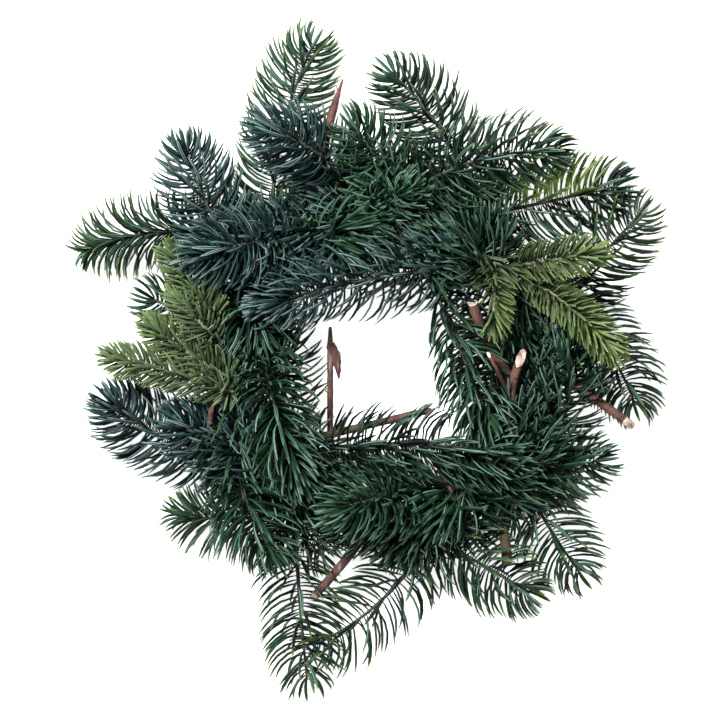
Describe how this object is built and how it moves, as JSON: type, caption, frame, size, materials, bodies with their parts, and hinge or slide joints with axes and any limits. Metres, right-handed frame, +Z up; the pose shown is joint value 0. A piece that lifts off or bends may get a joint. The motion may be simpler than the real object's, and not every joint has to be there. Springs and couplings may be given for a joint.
{
  "type": "evergreen wreath",
  "caption": "Fresh evergreen wreath: cut spruce and fir sprays and bare twigs piled on a twisted vine ring, open in the middle.",
  "frame": {"origin": "on the surface that the wreath lies on, below the middle of its outline", "axes": "+Z up, out of the wreath's face; +Y towards the top of the wreath as it hangs; +X to its right seen from the face"},
  "size_m": [0.319, 0.3611, 0.0714],
  "materials": {
    "spruce_green": "fresh waxy needles, dark green with light tips",
    "spruce_blue": "fresh waxy needles, blue-green with a pale bloom",
    "fir_olive": "fresh short needles, olive to yellow-green",
    "twig_bark": "thin reddish-brown bark, pale where cut",
    "vine_bark": "rough brown vine bark"
  },
  "bodies": {
    "root": {"vine_ring": "vine_bark", "fir_left": "fir_olive", "fir_right": "fir_olive", "spruce_bottom_corner": "spruce_green", "spruce_bottom_filler": "spruce_green", "spruce_bottom_front": "spruce_green", "spruce_bottom_left": "spruce_green", "spruce_bottom_right": "spruce_green", "spruce_bottom_ring": "spruce_green", "spruce_bottom_tall": "spruce_green", "spruce_hole_bottom": "spruce_green", "spruce_hole_left": "spruce_green", "spruce_hole_right": "spruce_green", "spruce_hole_top": "spruce_blue", "spruce_inner_right": "spruce_green", "spruce_inner_top": "spruce_green", "spruce_left_far": "spruce_green", "spruce_left_foot": "spruce_green", "spruce_left_front": "spruce_green", "spruce_left_hanging": "spruce_green", "spruce_left_inner": "spruce_blue", "spruce_left_low": "spruce_blue", "spruce_left_ring": "spruce_green", "spruce_left_rising": "spruce_blue", "spruce_left_under": "spruce_green", "spruce_low_ring": "spruce_green", "spruce_right_arched": "spruce_green", "spruce_right_falling": "spruce_green", "spruce_right_filler": "spruce_green", "spruce_right_low": "spruce_green", "spruce_right_rising": "spruce_green", "spruce_right_under": "spruce_green", "spruce_right_upright": "spruce_green", "spruce_top_filler": "spruce_green", "spruce_top_front": "spruce_green", "spruce_top_left": "spruce_blue", "spruce_top_middle": "spruce_green", "spruce_top_right": "spruce_green", "spruce_top_ring": "spruce_green", "spruce_top_tall": "spruce_green", "spruce_top_under": "spruce_green", "spruce_upper_left": "spruce_blue", "spruce_upper_right": "spruce_green", "twig_bottom": "twig_bark", "twig_bottom_right": "twig_bark", "twig_fork": "twig_bark", "twig_hole_bottom": "twig_bark", "twig_hole_left": "twig_bark", "twig_hole_right": "twig_bark", "twig_left": "twig_bark", "twig_right": "twig_bark", "twig_thin": "twig_bark", "twig_top": "twig_bark"}
  },
  "joints": []
}
